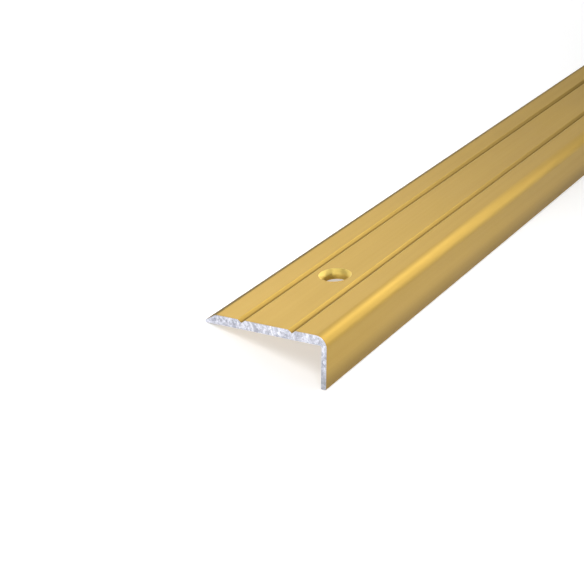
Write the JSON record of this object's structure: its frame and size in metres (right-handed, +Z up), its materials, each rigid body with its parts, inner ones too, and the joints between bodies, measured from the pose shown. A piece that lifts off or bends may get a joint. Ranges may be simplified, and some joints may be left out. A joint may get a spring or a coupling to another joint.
{
  "type": "stair edge angle profile",
  "caption": "Straight length of gold anodised aluminium stair edge angle: wide grooved flange with feathered rear edge and countersunk screw holes, short leg, sawn ends.",
  "frame": {"origin": "centre of the bounding box at floor level, with the piece lying as it comes to rest: on the feathered rear edge and the toe of the leg, walking face up", "axes": "+X along the stock, away from the sawn end seen in the picture; +Y level, across the stock from the nosing to the rear edge; +Z up"},
  "size_m": [1, 0.0252, 0.0094],
  "materials": {
    "angle_profile": "satin gold anodised, raw silver at the sawn ends"
  },
  "bodies": {
    "root": {"angle_profile": "angle_profile"}
  },
  "joints": []
}
